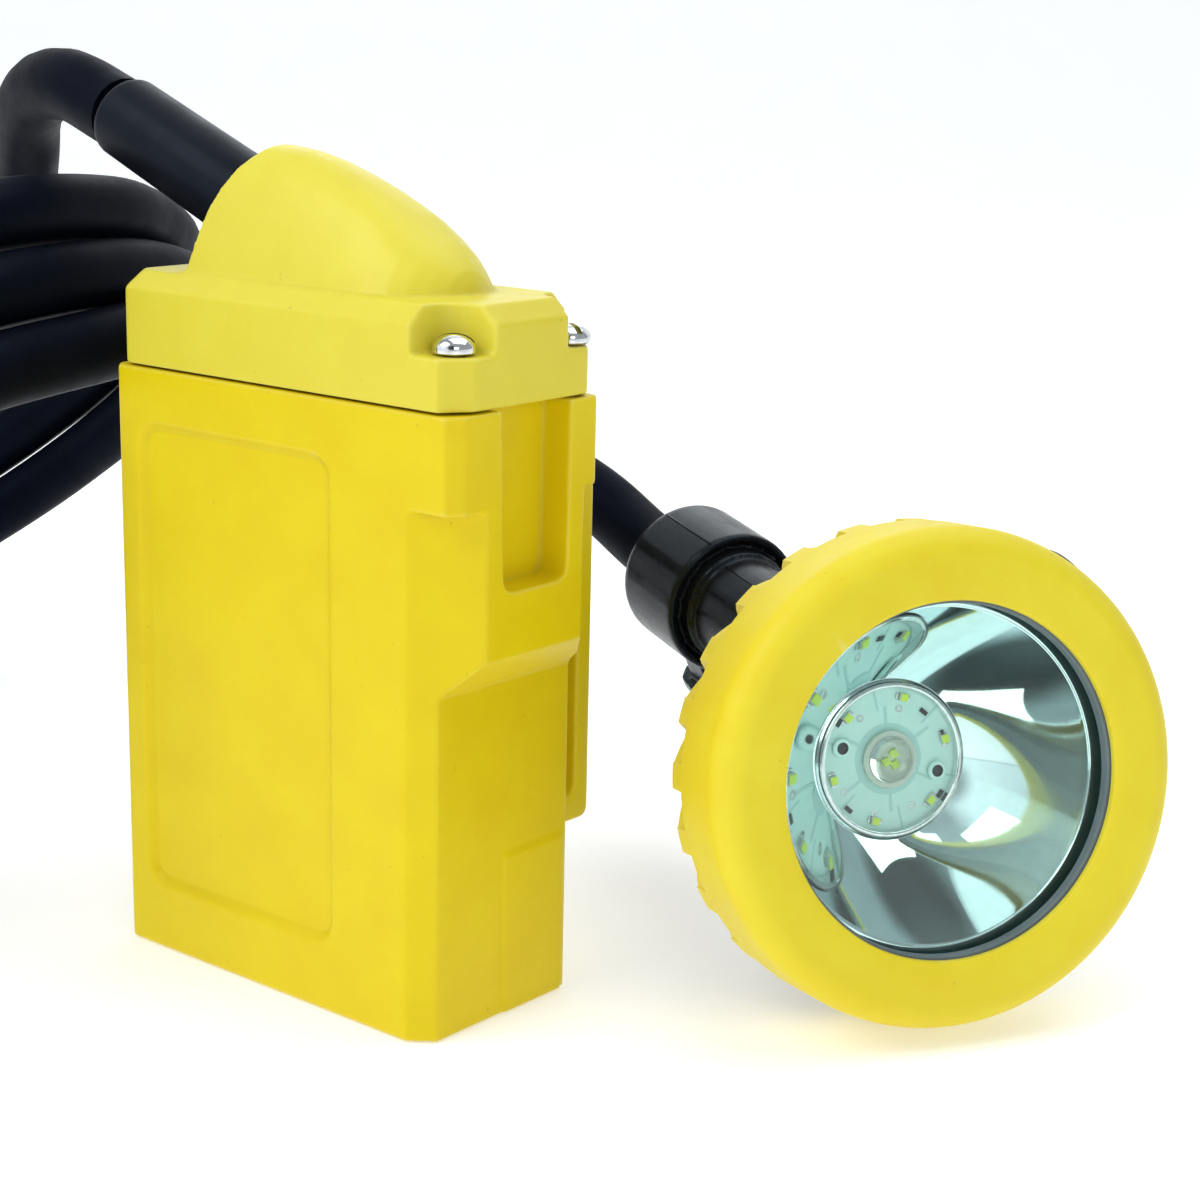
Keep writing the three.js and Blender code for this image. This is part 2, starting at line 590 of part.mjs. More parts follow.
// ---------------------------------------------------------------- cord
const COIL = { x: -104.5, y: -19, z: 42.9, radius: 76, turn: 13.5, tilt: 33.5, low: 5.3, high: 27 };
const coilTurn = THREE.MathUtils.degToRad(COIL.turn);
const coilTilt = THREE.MathUtils.degToRad(COIL.tilt);
const coilAcross = new THREE.Vector3(-Math.sin(coilTurn), Math.cos(coilTurn), 0);
const coilDown = new THREE.Vector3(
  -Math.cos(coilTurn) * Math.cos(coilTilt),
  -Math.sin(coilTurn) * Math.cos(coilTilt),
  -Math.sin(coilTilt),
);
const coilAxis = new THREE.Vector3().crossVectors(coilAcross, coilDown);
const COIL_FRAME = new THREE.Matrix4()
  .makeBasis(coilAcross, coilDown, coilAxis)
  .setPosition(COIL.x, COIL.y, COIL.z);

// Outer shape of the wound turns, grown by a clearance.
function coilShape(grow) {
  const r = CORD_RADIUS + grow;
  const slant = r * Math.SQRT1_2;
  const { radius, low, high } = COIL;
  const profile = [
    [radius + r, low], [radius + r, high], [radius + slant, high + slant], [radius, high + r],
    [radius - slant, high + slant], [radius - r, high], [radius - r, low], [radius - slant, low - slant],
    [radius, low - r], [radius + slant, low - slant], [radius + r, low],
  ];
  return placed(turned(profile, 44), COIL_FRAME);
}

const bootEnd = new THREE.Vector3(0, 0, BOOT.length + GAP).applyMatrix4(bootAxis());
const bootLead = new THREE.Vector3(0, 0, BOOT.length + 5).applyMatrix4(bootAxis());
const glandEnd = new THREE.Vector3(0, 0, 0.5).applyMatrix4(inSleeve);
const glandLead = new THREE.Vector3(0, 0, -10.5).applyMatrix4(inSleeve);
const TO_COIL = [
  bootEnd.toArray(), bootLead.toArray(), [-63, 2, 120.6], [-78, 8, 117], [-92, 18, 108], [-108, 29, 96.5],
  [-126, 39, 84], [-146, 44, 71], [-161, 40, 61],
];
const TO_HEAD = [
  [-43.4, -2, 85], [-45, 9, 85], [-46, 27, 82], [-42.5, 45, 75], [-32.5, 60.5, 65.5], [-17, 69.5, 57],
  glandLead.toArray(), glandEnd.toArray(),
];
const coilRoom = coilShape(GAP);
add('cord_coil', coilShape(0), RUBBER);
add('cord_to_coil', tube(TO_COIL, CORD_RADIUS, 16).subtract(coilRoom), RUBBER);
add('cord_to_head', tube(TO_HEAD, CORD_RADIUS, 16).subtract(coilRoom), RUBBER);

export default group;
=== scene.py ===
import math

import bmesh
import bpy
from mathutils import Matrix, Vector


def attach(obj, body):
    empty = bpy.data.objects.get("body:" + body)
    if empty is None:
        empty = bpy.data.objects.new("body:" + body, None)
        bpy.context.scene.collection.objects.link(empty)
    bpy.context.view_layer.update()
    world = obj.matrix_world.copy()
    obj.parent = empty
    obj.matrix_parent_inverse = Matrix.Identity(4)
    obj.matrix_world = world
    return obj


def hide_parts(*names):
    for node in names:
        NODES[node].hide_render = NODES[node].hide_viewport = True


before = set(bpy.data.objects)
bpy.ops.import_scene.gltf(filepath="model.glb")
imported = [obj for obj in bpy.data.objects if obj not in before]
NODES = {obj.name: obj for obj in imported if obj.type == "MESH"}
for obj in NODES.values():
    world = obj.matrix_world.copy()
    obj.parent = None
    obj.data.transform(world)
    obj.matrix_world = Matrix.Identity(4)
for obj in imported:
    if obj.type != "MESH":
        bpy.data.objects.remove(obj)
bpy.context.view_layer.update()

# Metres, +Z up, origin at the centre of the battery's bottom face.
MM = 0.001
CORD_RADIUS = 5.25 * MM

# Head frame: X towards the switch, Y towards the neck, Z along the beam, 0 at the lens opening.
LENS_CENTRE = Vector((76.12, 35.12, 35.75)) * MM
BEAM = Vector((0.8425, -0.5185, 0.1461)).normalized()
NECK_SIDE = Vector((-0.3415, -0.3045, 0.8891))
NECK_SIDE = (NECK_SIDE - BEAM * NECK_SIDE.dot(BEAM)).normalized()
SWITCH_SIDE = NECK_SIDE.cross(BEAM)
HEAD = Matrix((SWITCH_SIDE, NECK_SIDE, BEAM)).transposed().to_4x4()
HEAD.translation = LENS_CENTRE

# Sleeve frame: Z forwards along the cord, 0 at the sleeve's rear face.
SLEEVE_TILT = math.radians(16.9)
SLEEVE_LENGTH = 16.7 * MM
SLEEVE_REAR = Vector((0, 21.1 * MM + SLEEVE_LENGTH * math.sin(SLEEVE_TILT),
                      -52.8 * MM - SLEEVE_LENGTH * math.cos(SLEEVE_TILT)))
SLEEVE = HEAD @ Matrix.Translation(SLEEVE_REAR) @ Matrix.Rotation(SLEEVE_TILT, 4, "X")

# Boot frame: Z outwards along the strain relief.
BOOT_TILT = math.radians(22)
BOOT_AXIS = Vector((-math.cos(BOOT_TILT), 0, math.sin(BOOT_TILT)))
BOOT_START = Vector((-11, 0, 102.8)) * MM
BOOT = Matrix.Translation(BOOT_START) @ BOOT_AXIS.to_track_quat("Z", "Y").to_matrix().to_4x4()
BOOT_LENGTH = 37 * MM

# Light board, in the head frame. Angles in degrees.
BOARD_S = -20.3 * MM
LED_RING = 8.8 * MM
LED_START = 49
SCREW_RING = 7.5 * MM
SCREW_ANGLE = 137.5


# ---------------------------------------------------------------- camera
VIEW_LEVEL = Vector((-0.6325, 0.7746, 0)).normalized()
VIEW_PITCH, VIEW_ROLL = 0.2436, -0.0218
VIEW_FROM = Vector((0.22616, -0.22291, 0.13254))


def make_camera():
    """The camera stands in front of the battery's near right edge and looks slightly down."""
    right = VIEW_LEVEL.cross(Vector((0, 0, 1)))
    forward = VIEW_LEVEL * math.cos(VIEW_PITCH) - Vector((0, 0, math.sin(VIEW_PITCH)))
    up = right.cross(forward)
    turned_right = right * math.cos(VIEW_ROLL) - up * math.sin(VIEW_ROLL)
    turned_up = right * math.sin(VIEW_ROLL) + up * math.cos(VIEW_ROLL)
    data = bpy.data.cameras.new("camera")
    data.lens = 71.1
    data.sensor_width = 36
    data.clip_start = 0.01
    data.clip_end = 20
    camera = bpy.data.objects.new("camera", data)
    bpy.context.scene.collection.objects.link(camera)
    turn = Matrix((turned_right, turned_up, -forward)).transposed().to_4x4()
    camera.matrix_world = Matrix.Translation(VIEW_FROM) @ turn
    bpy.context.scene.camera = camera


make_camera()


# ---------------------------------------------------------------- node materials
class Nodes:
    """A short way to build one procedural material."""

    def __init__(self, name):
        self.material = bpy.data.materials.new(name)
        self.material.use_nodes = True
        self.tree = self.material.node_tree
        self.shader = self.tree.nodes["Principled BSDF"]
        self.place = self.add("ShaderNodeTexCoord").outputs["Object"]

    def add(self, kind, **values):
        node = self.tree.nodes.new(kind)
        for key, value in values.items():
            setattr(node, key, value)
        return node

    def join(self, source, target):
        self.tree.links.new(source, target)

    def stretch(self, scale):
        mapping = self.add("ShaderNodeMapping")
        mapping.inputs["Scale"].default_value = scale
        self.join(self.place, mapping.inputs["Vector"])
        return mapping.outputs["Vector"]

    def noise(self, scale, detail=4.0, rough=0.55, vector=None):
        node = self.add("ShaderNodeTexNoise")
        node.inputs["Scale"].default_value = scale
        node.inputs["Detail"].default_value = detail
        node.inputs["Roughness"].default_value = rough
        self.join(vector or self.place, node.inputs["Vector"])
        return node.outputs["Fac"]

    def ramp(self, source, low, high, out_low=0.0, out_high=1.0):
        node = self.add("ShaderNodeMapRange")
        node.clamp = True
        node.inputs["From Min"].default_value = low
        node.inputs["From Max"].default_value = high
        node.inputs["To Min"].default_value = out_low
        node.inputs["To Max"].default_value = out_high
        self.join(source, node.inputs["Value"])
        return node.outputs["Result"]

    def mix(self, factor, first, second):
        node = self.add("ShaderNodeMix", data_type="RGBA", blend_type="MIX")
        self.join(factor, node.inputs[0])
        for socket, value in ((node.inputs[6], first), (node.inputs[7], second)):
            if isinstance(value, tuple):
                socket.default_value = (*value, 1)
            else:
                self.join(value, socket)
        return node.outputs[2]

    def bump(self, height, distance, strength, normal=None):
        node = self.add("ShaderNodeBump")
        node.inputs["Distance"].default_value = distance
        node.inputs["Strength"].default_value = strength
        self.join(height, node.inputs["Height"])
        if normal is not None:
            self.join(normal, node.inputs["Normal"])
        return node.outputs["Normal"]

    def set(self, **values):
        for name, value in values.items():
            self.shader.inputs[name.replace("_", " ")].default_value = value


def shade(colour, factor):
    return tuple(min(1.0, c * factor) for c in colour)


def plastic(name, base, deep, roughness, grain=0.06, mottle=90, dirt=0.0, flow=(1, 1, 1), shine=0.5,
            tint=(1, 1, 1), wear=0.0):
    """Moulded plastic: slow drift of colour, fine grain, scuffs, rubbed edges, small specks of dirt and
    painted shade darkening the creases.
    """
    n = Nodes(name)
    drift = n.ramp(n.noise(mottle, 3), 0.3, 0.7)
    colour = n.mix(drift, base, deep)
    streak = n.ramp(n.noise(260, 5, 0.6, n.stretch(flow)), 0.55, 0.75, 0.0, 0.35)
    colour = n.mix(streak, colour, shade(base, 0.93))
    edge = n.add("ShaderNodeNewGeometry").outputs["Pointiness"]
    if wear:
        worn = n.ramp(edge, 0.52, 0.58, 0.0, wear)
        colour = n.mix(worn, colour, tuple(c + (1 - c) * 0.22 for c in base))
    if dirt:
        # Painted shade: concave creases (low pointiness) are darkened towards a dark copy of the deep colour;
        # the specks after it are real dirt.
        crease_shade = n.ramp(edge, 0.492, 0.455, 0.0, dirt)
        colour = n.mix(crease_shade, colour, shade(deep, 0.55))
        specks = n.ramp(n.noise(900, 2, 0.5), 0.73, 0.78, 0.0, dirt)
        colour = n.mix(specks, colour, shade(deep, 0.45))
    n.join(colour, n.shader.inputs["Base Color"])
    smudge = n.ramp(n.noise(140, 6, 0.65), 0.3, 0.75, roughness - 0.06, roughness + 0.1)
    n.join(smudge, n.shader.inputs["Roughness"])
    fine = n.bump(n.noise(5200, 2, 0.5), 0.00004, grain)
    wide = n.bump(n.noise(320, 4, 0.5), 0.0003, grain * 0.5, fine)
    n.join(wide, n.shader.inputs["Normal"])
    n.set(IOR=1.49, Specular_IOR_Level=shine, Specular_Tint=(*tint, 1))
    return n.material


def yellow(name, base, deep, **values):
    """Yellow plastic lets a little light in below its skin."""
    material = plastic(name, base, deep, **values)
    shader = material.node_tree.nodes["Principled BSDF"]
    shader.inputs["Subsurface Weight"].default_value = 0.12
    shader.inputs["Subsurface Radius"].default_value = (1.0, 0.55, 0.08)
    shader.inputs["Subsurface Scale"].default_value = 0.0016
    return material


def metal(name, base, roughness, brush=(1, 1, 1), dark=0.75, scale=700, bump=0.05):
    """Metal with fine tool marks, tarnish and a changing polish."""
    n = Nodes(name)
    marks = n.noise(scale, 6, 0.6, n.stretch(brush))
    colour = n.mix(n.ramp(marks, 0.3, 0.75), base, shade(base, dark))
    n.join(colour, n.shader.inputs["Base Color"])
    polish = n.ramp(n.noise(scale * 0.4, 4), 0.3, 0.7, roughness * 0.7, roughness * 1.5)
    n.join(polish, n.shader.inputs["Roughness"])
    n.join(n.bump(marks, 0.00004, bump), n.shader.inputs["Normal"])
    n.set(Metallic=1.0)
    return n.material


def window(name, tint):
    """Thin clear sheet: lets light straight through and reflects more at a slant."""
    n = Nodes(name)
    haze = n.noise(150, 5, 0.6, n.stretch((1, 4, 1)))
    wiped = n.ramp(haze, 0.4, 0.8, 0.0, 0.3)
    n.join(n.mix(wiped, (0.9, 0.95, 0.95), (0.8, 0.86, 0.86)), n.shader.inputs["Base Color"])
    n.join(n.ramp(haze, 0.4, 0.8, 0.03, 0.09), n.shader.inputs["Roughness"])
    n.set(Metallic=1.0)
    through = n.add("ShaderNodeBsdfTransparent")
    through.inputs["Color"].default_value = (*tint, 1)
    slant = n.add("ShaderNodeLayerWeight")
    slant.inputs["Blend"].default_value = 0.5
    blend = n.add("ShaderNodeMixShader")
    n.join(n.ramp(slant.outputs["Facing"], 0.45, 1.0, 0.03, 0.4), blend.inputs["Fac"])
    n.join(through.outputs["BSDF"], blend.inputs[1])
    n.join(n.shader.outputs["BSDF"], blend.inputs[2])
    n.join(blend.outputs["Shader"], n.tree.nodes["Material Output"].inputs["Surface"])
    return n.material


def glass(name, tint, roughness, ior):
    """Clear moulding with faint haze and wipe marks."""
    n = Nodes(name)
    haze = n.noise(150, 5, 0.6, n.stretch((1, 4, 1)))
    n.join(n.mix(n.ramp(haze, 0.4, 0.8, 0.0, 0.3), tint, shade(tint, 0.93)), n.shader.inputs["Base Color"])
    n.join(n.ramp(haze, 0.4, 0.8, roughness, roughness + 0.05), n.shader.inputs["Roughness"])
    n.join(n.bump(n.noise(300, 3), 0.00002, 0.05), n.shader.inputs["Normal"])
    n.set(Transmission_Weight=1.0, IOR=ior)
    return n.material


YELLOW_BASE, YELLOW_DEEP = (0.76, 0.60, 0.003), (0.73, 0.55, 0.002)
PALE_BASE, PALE_DEEP = (0.74, 0.65, 0.055), (0.71, 0.60, 0.045)
BEZEL_BASE, BEZEL_DEEP = (0.78, 0.655, 0.030), (0.75, 0.59, 0.018)
# The dirt amounts below also set how dark the painted shade in the creases is.
case_yellow = yellow("case yellow", YELLOW_BASE, YELLOW_DEEP, roughness=0.42, dirt=0.35, flow=(1, 1, 9),
                     shine=0.26, wear=0.4)
cover_yellow = yellow("cover yellow", PALE_BASE, PALE_DEEP, roughness=0.38, dirt=0.3, flow=(8, 1, 1),
                      shine=0.34, wear=0.4)
bezel_yellow = yellow("bezel yellow", BEZEL_BASE, BEZEL_DEEP, roughness=0.45, dirt=0.3, shine=0.28, wear=0.3)
gloss_black = plastic("gloss black", (0.005, 0.005, 0.006), (0.008, 0.009, 0.011), roughness=0.25, grain=0.05,
                      shine=0.22, tint=(0.6, 0.8, 1.0))
matt_black = plastic("matt black", (0.012, 0.012, 0.013), (0.02, 0.02, 0.022), roughness=0.5, grain=0.15)
cord_rubber = plastic("cord rubber", (0.0015, 0.002, 0.005), (0.003, 0.004, 0.010), roughness=0.5, grain=0.16,
                      mottle=60, shine=0.06, tint=(0.4, 0.6, 1.0))
boot_rubber = plastic("boot rubber", (0.004, 0.005, 0.008), (0.009, 0.010, 0.015), roughness=0.4, grain=0.12,
                      shine=0.12, tint=(0.5, 0.7, 1.0))
grey_rubber = plastic("grey rubber", (0.15, 0.19, 0.205), (0.11, 0.14, 0.155), roughness=0.5, grain=0.12)
red_wire = plastic("red wire", (0.35, 0.01, 0.01), (0.28, 0.01, 0.01), roughness=0.4)
cell_wrap = plastic("cell wrap", (0.03, 0.17, 0.30), (0.02, 0.13, 0.24), roughness=0.3)
foam = plastic("foam", (0.03, 0.03, 0.032), (0.05, 0.05, 0.052), roughness=0.9, grain=0.8)
board_green = plastic("board green", (0.01, 0.10, 0.04), (0.01, 0.13, 0.05), roughness=0.35)
board_white = plastic("board white", (0.72, 0.98, 0.93), (0.66, 0.95, 0.90), roughness=0.34, mottle=500)
trace_pale = plastic("board trace", (0.54, 0.82, 0.79), (0.50, 0.78, 0.75), roughness=0.4)
ceramic = plastic("led frame", (0.72, 0.78, 0.70), (0.66, 0.72, 0.64), roughness=0.35)
phosphor = plastic("led phosphor", (0.78, 0.98, 0.10), (0.66, 0.92, 0.07), roughness=0.3, mottle=1500)
solder = metal("solder", (0.70, 0.74, 0.74), 0.28)
chrome = metal("chrome", (0.86, 0.87, 0.88), 0.10, scale=900)
brass = metal("brass", (0.72, 0.52, 0.20), 0.28, brush=(1, 1, 8))
nickel = metal("nickel", (0.62, 0.60, 0.55), 0.35, brush=(8, 1, 1))
aluminium = metal("aluminium", (0.68, 0.70, 0.72), 0.34, scale=1200)
mirror = metal("reflector coating", (0.80, 0.92, 0.92), 0.035, scale=500, dark=0.93, bump=0.02)
clear_window = window("clear window", (0.95, 1.0, 0.99))
clear_dome = glass("clear dome", (0.97, 1.0, 0.97), 0.03, 1.41)
resistor = plastic("resistor", (0.015, 0.015, 0.017), (0.03, 0.03, 0.03), roughness=0.4)


# ---------------------------------------------------------------- mesh helpers
def piece(name, mesh, material, body="lamp", slot=None, replaced=(), angle=32):
    """A finished piece: smooth shading up to the angle, its material or list of them, riding on its body."""
    thing = bpy.data.objects.new(name, mesh)
    bpy.context.scene.collection.objects.link(thing)
    for look in material if isinstance(material, list) else [material]:
        mesh.materials.append(look)
    mesh.shade_smooth()
    mesh.set_sharp_from_angle(angle=math.radians(angle))
    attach(thing, body)
    if replaced:
        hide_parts(*replaced)


def mesh_of(bm, name):
    bmesh.ops.recalc_face_normals(bm, faces=bm.faces)
    mesh = bpy.data.meshes.new(name)
    bm.to_mesh(mesh)
    bm.free()
    return mesh


def moulded(node, name, material, voxel, passes, at=None, **values):
    """The CAD node's shape with the small soft edges that a mould leaves. The voxel is in millimetres."""
    local = at or Matrix.Identity(4)
    bm = bmesh.new()
    bm.from_mesh(NODES[node].data)
    bmesh.ops.remove_doubles(bm, verts=bm.verts, dist=1e-6)
    bm.transform(local.inverted())
    rough = bpy.data.objects.new("rough", mesh_of(bm, "rough"))
    bpy.context.scene.collection.objects.link(rough)
    remesh = rough.modifiers.new("remesh", "REMESH")
    remesh.mode = "VOXEL"
    remesh.voxel_size = voxel * MM
    smooth = rough.modifiers.new("smooth", "SMOOTH")
    smooth.factor = 0.5
    smooth.iterations = passes
    view = bpy.context.evaluated_depsgraph_get()
    mesh = bpy.data.meshes.new_from_object(rough.evaluated_get(view))
    bpy.data.objects.remove(rough)
    mesh.transform(local)
    piece(name, mesh, material, replaced=(node,), angle=180, **values)


def turned_mesh(profile, sides, at, name):
    """A turned shape from (radius, height) points in millimetres. A point on the axis makes one vertex."""
    bm = bmesh.new()
    rings = []
    for radius, height in profile:
        if radius < 1e-6:
            rings.append([bm.verts.new((0, 0, height * MM))])
            continue
        ring = []
        for i in range(sides):
            a = 2 * math.pi * i / sides
            ring.append(bm.verts.new((radius * MM * math.cos(a), radius * MM * math.sin(a), height * MM)))
        rings.append(ring)
    pairs = list(zip(rings, rings[1:]))
    if len(rings[0]) > 1 and len(rings[-1]) > 1:
        pairs.append((rings[-1], rings[0]))
    for low, high in pairs:
        for i in range(sides):
            j = (i + 1) % sides
            if len(low) == 1:
                bm.faces.new((low[0], high[i], high[j]))
            elif len(high) == 1:
                bm.faces.new((low[i], low[j], high[0]))
            else:
                bm.faces.new((low[i], low[j], high[j], high[i]))
    bm.transform(at)
    return mesh_of(bm, name)


def arc(centre_r, centre_h, radius, start, end, steps):
    """Points of a rounded corner in a turned profile, in millimetres and degrees."""
    out = []
    for i in range(steps + 1):
        a = math.radians(start + (end - start) * i / steps)
        out.append((centre_r + radius * math.cos(a), centre_h + radius * math.sin(a)))
    return out


def block(bm, low, high, at, soft=0.0):
    """Adds a box, with its edges eased when soft is given."""
    size = [(b - a) for a, b in zip(low, high)]
    middle = [(a + b) / 2 for a, b in zip(low, high)]
    verts = bmesh.ops.create_cube(bm, size=1.0)["verts"]
    bmesh.ops.scale(bm, vec=size, verts=verts)
    bmesh.ops.translate(bm, vec=middle, verts=verts)
    if soft:
        edges = list({e for v in verts for e in v.link_edges})
        result = bmesh.ops.bevel(bm, geom=edges, offset=soft, segments=2, profile=0.6, affect="EDGES")
        verts = list({v for f in result["faces"] for v in f.verts} | {v for v in verts if v.is_valid})
    bmesh.ops.transform(bm, matrix=at, verts=verts)


# ---------------------------------------------------------------- cord
COIL_CENTRE = Vector((-104.5, -19, 42.9))
COIL_TURN, COIL_TILT = math.radians(13.5), math.radians(33.5)
COIL_ACROSS = Vector((-math.sin(COIL_TURN), math.cos(COIL_TURN), 0))
COIL_DOWN = Vector((-math.cos(COIL_TURN) * math.cos(COIL_TILT), -math.sin(COIL_TURN) * math.cos(COIL_TILT),
                    -math.sin(COIL_TILT)))
COIL_AXIS = COIL_ACROSS.cross(COIL_DOWN)
COIL_RADIUS, COIL_RISE, COIL_STEP = 76, 10.9, 22.0
COIL_START, COIL_END = 50, 985

FROM_BATTERY = [(-61, 2, 120.4), (-77, 8, 117), (-92, 18, 108), (-108, 29, 96.5), (-126, 39, 84),
                (-146, 44, 71)]
TO_HEAD = [(-45, 9, 85), (-46, 27, 82), (-42.5, 45, 75), (-32.5, 60.5, 65.5), (-17, 69.5, 57)]


def cord_points():
    """Out of the boot, round the leaning coil from its top layer down, and into the sleeve."""
    points = [BOOT @ Vector((0, 0, BOOT_LENGTH + 0.3 * MM)) / MM]
    points += [Vector(p) for p in FROM_BATTERY]
    steps = round((COIL_END - COIL_START) / COIL_STEP)
    for i in range(steps + 1):
        degrees = COIL_START + (COIL_END - COIL_START) * i / steps
        a = math.radians(degrees)
        lift = COIL_RISE * (COIL_END - degrees) / 360
        points.append(COIL_CENTRE + COIL_RADIUS * (math.cos(a) * COIL_ACROSS + math.sin(a) * COIL_DOWN)
                      + lift * COIL_AXIS)
    points += [Vector(p) for p in TO_HEAD]
    points.append(SLEEVE @ Vector((0, 0, -10.5 * MM)) / MM)
    points.append(SLEEVE @ Vector((0, 0, 0.5 * MM)) / MM)
    return [p * MM for p in points]


def make_cord():
    points = cord_points()
    data = bpy.data.curves.new("cord", "CURVE")
    data.dimensions = "3D"
    data.resolution_u = 8
    data.bevel_depth = CORD_RADIUS
    data.bevel_resolution = 7
    data.use_fill_caps = True
    spline = data.splines.new("BEZIER")
    spline.bezier_points.add(len(points) - 1)
    for knot, place in zip(spline.bezier_points, points):
        knot.co = place
        knot.handle_left_type = "AUTO"
        knot.handle_right_type = "AUTO"
    data.materials.append(cord_rubber)
    thing = bpy.data.objects.new("cord", data)
    bpy.context.scene.collection.objects.link(thing)
    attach(thing, "lamp")
    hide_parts("cord_coil", "cord_to_coil", "cord_to_head")


make_cord()


# ---------------------------------------------------------------- battery
moulded("battery_case", "battery_case_moulding", case_yellow, 0.36, 4, slot="yellow_case")
moulded("battery_cover", "battery_cover_moulding", cover_yellow, 0.32, 8, slot="yellow_cover")
moulded("cord_boot", "cord_boot_moulding", boot_rubber, 0.35, 4, at=BOOT, slot="black_rubber")


def screw_mesh(x, y, z, name, turn):
    """Domed screw head with a cut slot, on its shank."""
    radius, rim, rise = 2.75, 1.0, 1.7
    head = [(0, -15), (1.2, -15), (1.2, 0.3), (2.6, 0.3), (radius, 0.45), (radius, rim)]
    slopes = [math.radians(8 * i) for i in range(1, 11)]
    head += [(radius * math.cos(t), rim + rise * math.sin(t)) for t in slopes]
    head.append((0, 2.72))
    at = Matrix.Translation(Vector((x, y, z)) * MM)
    body = bpy.data.objects.new("blank", turned_mesh(head, 48, at, name))
    bpy.context.scene.collection.objects.link(body)
    cutter_bm = bmesh.new()
    block(cutter_bm, (-4 * MM, -0.4 * MM, 1.6 * MM), (4 * MM, 0.4 * MM, 4 * MM),
          at @ Matrix.Rotation(math.radians(turn), 4, "Z"))
    cutter = bpy.data.objects.new("cutter", mesh_of(cutter_bm, "cutter"))
    bpy.context.scene.collection.objects.link(cutter)
    cut = body.modifiers.new("cut", "BOOLEAN")
    cut.operation = "DIFFERENCE"
    cut.solver = "EXACT"
    cut.object = cutter
    mesh = bpy.data.meshes.new_from_object(body.evaluated_get(bpy.context.evaluated_depsgraph_get()))
    bpy.data.objects.remove(body)
    bpy.data.objects.remove(cutter)
    return mesh


COVER_SCREWS = {"cover_screw_near": (27.9, -9.6, 91.0, 35), "cover_screw_far": (29.2, 11.0, 90.6, -20)}
for node, (x, y, z, turn) in COVER_SCREWS.items():
    head_and_shank = screw_mesh(x, y, z, node, turn)
    piece(node + "_chrome", head_and_shank, chrome, slot="chrome", replaced=(node,), angle=35)


# ---------------------------------------------------------------- bezel ring
NOTCHES = 24
NOTCH_PHASE = 0.37
# Radians from the notch's own mark to its two ends and to its deepest point.
NOTCH_START, NOTCH_END, NOTCH_DEEPEST = -0.012, 0.1426, 0.02


def notch_floor(offset):
    """Radius of the notch's floor in millimetres: a steep step in, then a long slope out."""
    if offset < NOTCH_DEEPEST:
        return 33.55 - 1.65 * (offset - NOTCH_START) / (NOTCH_DEEPEST - NOTCH_START)
    return 31.9 + 1.3 * (offset - NOTCH_DEEPEST) / 0.11


def bezel_mesh():
    """Turned ring whose rear rim has ratchet notches, made by drawing its surface in."""
    front = [(23.85, -1.2), *arc(24.25, -0.6, 0.4, 180, 100, 5), (26, 0.0), (28, 0.06), (29.3, 0.08)]
    shoulder = arc(29.6, -3.8, 3.9, 88, 4, 16)
    side = [(33.5, -5), (33.55, -7), (33.6, -10), (33.64, -12.3)]
    notched = [(33.64, -12.55), (33.65, -12.65), (33.67, -14), (33.68, -15.6), (33.4, -15.95)]
    back = [(33.1, -16), (30.2, -16), (30.2, -5.2), (27.6, -5.2), (27.6, -1.2)]
    profile = front + shoulder + side + notched + back
    first = len(front) + len(shoulder) + len(side) + 1
    last = first + len(notched) - 1
    stops = (-0.0131, -0.0120, -0.002, 0.004, 0.02, 0.05, 0.08, 0.11, 0.13, 0.1425, 0.146, 0.17, 0.2, 0.225)
    angles = []
    for i in range(NOTCHES):
        start = (i + NOTCH_PHASE) * 2 * math.pi / NOTCHES
        angles += [(start + stop, stop) for stop in stops]
    bm = bmesh.new()
    rings = []
    for a, offset in angles:
        ring = []
        for k, (radius, height) in enumerate(profile):
            if first <= k <= last and NOTCH_START <= offset <= NOTCH_END:
                radius = min(radius, notch_floor(offset))
            ring.append(bm.verts.new((radius * MM * math.cos(a), radius * MM * math.sin(a), height * MM)))
        rings.append(ring)
    count = len(profile)
    for one, two in zip(rings, rings[1:] + rings[:1]):
        for k in range(count):
            m = (k + 1) % count
            bm.faces.new((one[k], two[k], two[m], one[m]))
    bm.transform(HEAD)
    return mesh_of(bm, "bezel")


piece("bezel_ring_moulding", bezel_mesh(), bezel_yellow, body="bezel", slot="yellow_bezel",
      replaced=("bezel_ring",), angle=24)

gasket = [(23.4, -3.0), (23.4, -1.75), *arc(23.65, -1.75, 0.25, 180, 90, 4), (27.3, -1.5), (27.3, -3.0)]
piece("lens_gasket_ring", turned_mesh(gasket, 128, HEAD, "gasket"), grey_rubber, body="lens_carrier",
      slot="grey_rubber", replaced=("lens_gasket",))


# ---------------------------------------------------------------- reflector and light board
BOWL_BACK, BOWL_DEPTH = -19.4, 14.2
BOWL_HOLE, BOWL_MOUTH = 10.9, 22.6


def bowl_radius(height):
    """Radius of the parabolic bowl in millimetres, from the hole at its back to its mouth."""
    t = (height - BOWL_BACK) / BOWL_DEPTH
    return math.sqrt(BOWL_HOLE ** 2 + (BOWL_MOUTH ** 2 - BOWL_HOLE ** 2) * t)


def reflector_mesh():
    steps = 28
    heights = [BOWL_BACK + BOWL_DEPTH * i / steps for i in range(steps + 1)]
    inside = [(bowl_radius(s), s) for s in heights]
    outside = [(bowl_radius(s) + 1.2, min(s, -6.6)) for s in heights[::4]]
    lip = [(27.3, -6.6), (27.3, -5.0), (23.2, -5.0), *arc(22.95, -5.2, 0.2, 90, 170, 3)]
    return turned_mesh(outside + lip + inside[::-1], 160, HEAD, "reflector")


piece("reflector_bowl", reflector_mesh(), mirror, slot="reflector_metal", replaced=("reflector",), angle=40)

